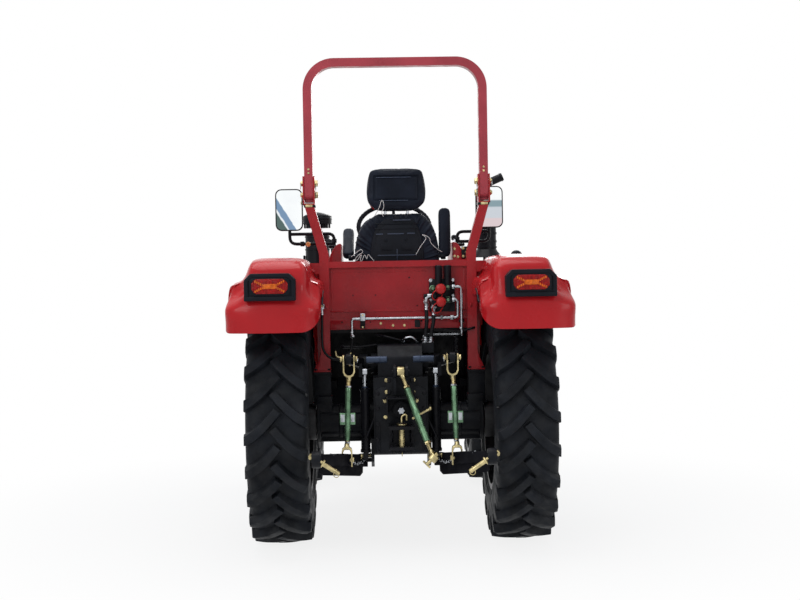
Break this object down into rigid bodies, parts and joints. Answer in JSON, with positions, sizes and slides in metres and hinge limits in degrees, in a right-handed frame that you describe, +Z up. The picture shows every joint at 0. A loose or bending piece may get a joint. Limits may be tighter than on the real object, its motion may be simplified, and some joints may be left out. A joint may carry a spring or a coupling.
{
  "type": "farm tractor with folding roll-over bar and three-point linkage",
  "caption": "Compact farm tractor with folding roll-over bar, shell fenders, sprung seat, tilting hood, steered front wheels and a rear three-point linkage.",
  "frame": {"origin": "bottom centre of the whole machine, on the ground", "axes": "+Y forward, +X to the driver's right, +Z up"},
  "size_m": [1.724, 3.4, 2.55],
  "materials": {
    "red_paint": "gloss",
    "red_moulding": "gloss",
    "black_casting": "painted, semi-gloss",
    "black_paint": "satin",
    "zinc_plate": "yellow-green zinc",
    "bright_steel": "bright",
    "tyre": "matt",
    "rim_paint": "satin",
    "black_plastic": "matt, grained",
    "seat_vinyl": "grained vinyl",
    "hose_rubber": "matt",
    "lamp_lens": "clear red",
    "lamp_glass": "clear",
    "mirror_black": "matt"
  },
  "bodies": {
    "chassis": {"rear_axle_housing": "black_casting", "lift_housing": "black_casting", "transmission": "black_casting", "engine_block": "black_casting", "front_frame": "black_casting", "front_axle_beam": "black_casting", "radiator": "black_paint", "rops_posts": "red_paint", "rear_panel": "red_paint", "platform": "black_paint", "fuel_tank": "black_plastic", "battery_box": "black_paint", "fender_left": "red_moulding", "fender_right": "red_moulding", "tail_lamp_housings": "black_plastic", "tail_lamp_lenses": "lamp_lens", "consoles": "red_paint", "seat_base": "black_plastic", "seat_cushion": "seat_vinyl", "seat_back": "seat_vinyl", "headrest": "seat_vinyl", "armrests": "seat_vinyl", "dashboard": "black_plastic", "muffler": "black_paint", "air_cleaner": "black_paint", "mirror_arms": "black_paint", "mirror_heads": "mirror_black", "top_link_bracket": "black_casting", "link_brackets": "black_casting", "pto_shaft": "bright_steel", "pto_guard": "black_paint", "trailer_hitch": "black_paint", "remote_valve": "black_paint", "lift_valve": "black_casting", "hydraulic_pipes": "bright_steel", "hose_lift": "hose_rubber", "hose_remote_left": "hose_rubber", "hose_remote_right": "hose_rubber", "lift_cylinders": "black_paint"},
    "rops_hoop": {"rops_hoop": "red_paint"},
    "lift_arms": {"lift_arms": "black_casting"},
    "lift_rods": {"lift_rods": "zinc_plate"},
    "lower_links": {"lower_links": "black_paint"},
    "top_link": {"top_link": "zinc_plate"},
    "lift_cylinder_rods": {"lift_cylinder_rods": "bright_steel"},
    "hood": {"hood": "red_paint", "headlamps": "lamp_glass"},
    "steering_wheel": {"steering_wheel": "black_plastic"},
    "knuckle_left": {"knuckle_left": "black_casting"},
    "knuckle_right": {"knuckle_right": "black_casting"},
    "tie_rod": {"tie_rod": "black_paint"},
    "rear_wheel_left": {"rear_rim_left": "rim_paint", "rear_tyre_left": "tyre"},
    "rear_wheel_right": {"rear_rim_right": "rim_paint", "rear_tyre_right": "tyre"},
    "front_wheel_left": {"front_rim_left": "rim_paint", "front_tyre_left": "tyre"},
    "front_wheel_right": {"front_rim_right": "rim_paint", "front_tyre_right": "tyre"}
  },
  "joints": [
    {"name": "rear_wheel_left_spin", "type": "hinge", "parent": "chassis", "child": "rear_wheel_left", "pos_m": [-0.6225, -0.84, 0.63], "axis": [1, 0, 0], "continuous": true},
    {"name": "rear_wheel_right_spin", "type": "hinge", "parent": "chassis", "child": "rear_wheel_right", "pos_m": [0.6225, -0.84, 0.63], "axis": [1, 0, 0], "continuous": true},
    {"name": "steer_left", "type": "hinge", "parent": "chassis", "child": "knuckle_left", "pos_m": [-0.44, 1.16, 0.42], "axis": [0, 0, 1], "range_deg": [-35, 35]},
    {"name": "steer_right", "type": "hinge", "parent": "chassis", "child": "knuckle_right", "pos_m": [0.44, 1.16, 0.42], "axis": [0, 0, 1], "range_deg": [-35, 35]},
    {"name": "tie_rod_pivot", "type": "hinge", "parent": "knuckle_left", "child": "tie_rod", "pos_m": [-0.44, 1, 0.332], "axis": [0, 0, 1], "range_deg": [-35, 35]},
    {"name": "steering_wheel_turn", "type": "hinge", "parent": "chassis", "child": "steering_wheel", "pos_m": [0, 0.01, 1.69], "axis": [0, -0.6428, 0.766], "range_deg": [-350, 350]},
    {"name": "front_wheel_left_spin", "type": "hinge", "parent": "knuckle_left", "child": "front_wheel_left", "pos_m": [-0.6, 1.16, 0.4475], "axis": [1, 0, 0], "continuous": true},
    {"name": "front_wheel_right_spin", "type": "hinge", "parent": "knuckle_right", "child": "front_wheel_right", "pos_m": [0.6, 1.16, 0.4475], "axis": [1, 0, 0], "continuous": true},
    {"name": "rops_fold", "type": "hinge", "parent": "chassis", "child": "rops_hoop", "pos_m": [0, -0.86, 1.834], "axis": [1, 0, 0], "range_deg": [0, 105]},
    {"name": "hood_open", "type": "hinge", "parent": "chassis", "child": "hood", "pos_m": [0, 0.256, 1.378], "axis": [1, 0, 0], "range_deg": [0, 55]},
    {"name": "lift", "type": "hinge", "parent": "chassis", "child": "lift_arms", "pos_m": [0, -0.9, 0.94], "axis": [-1, 0, 0], "range_deg": [-20, 25]},
    {"name": "lower_link_pivot", "type": "hinge", "parent": "chassis", "child": "lower_links", "pos_m": [0, -0.9, 0.43], "axis": [-1, 0, 0], "range_deg": [-20, 25]},
    {"name": "lift_rod_pivot", "type": "hinge", "parent": "lift_arms", "child": "lift_rods", "pos_m": [0, -1.2, 0.985], "axis": [-1, 0, 0], "range_deg": [-25, 20]},
    {"name": "lift_cylinder_slide", "type": "slide", "parent": "chassis", "child": "lift_cylinder_rods", "axis": [0, 0, 1], "range_m": [-0.045, 0.055]},
    {"name": "top_link_swing", "type": "hinge", "parent": "chassis", "child": "top_link", "pos_m": [0, -1.17, 0.915], "axis": [-1, 0, 0], "range_deg": [0, 75]}
  ],
  "couplings": [
    {"joint": "steer_right", "follows": "steer_left", "ratio": 1},
    {"joint": "tie_rod_pivot", "follows": "steer_left", "ratio": -1},
    {"joint": "steering_wheel_turn", "follows": "steer_left", "ratio": 10},
    {"joint": "lower_link_pivot", "follows": "lift", "ratio": 1},
    {"joint": "lift_rod_pivot", "follows": "lift", "ratio": -1},
    {"joint": "lift_cylinder_slide", "follows": "lift", "m_per_rad": 0.12}
  ]
}
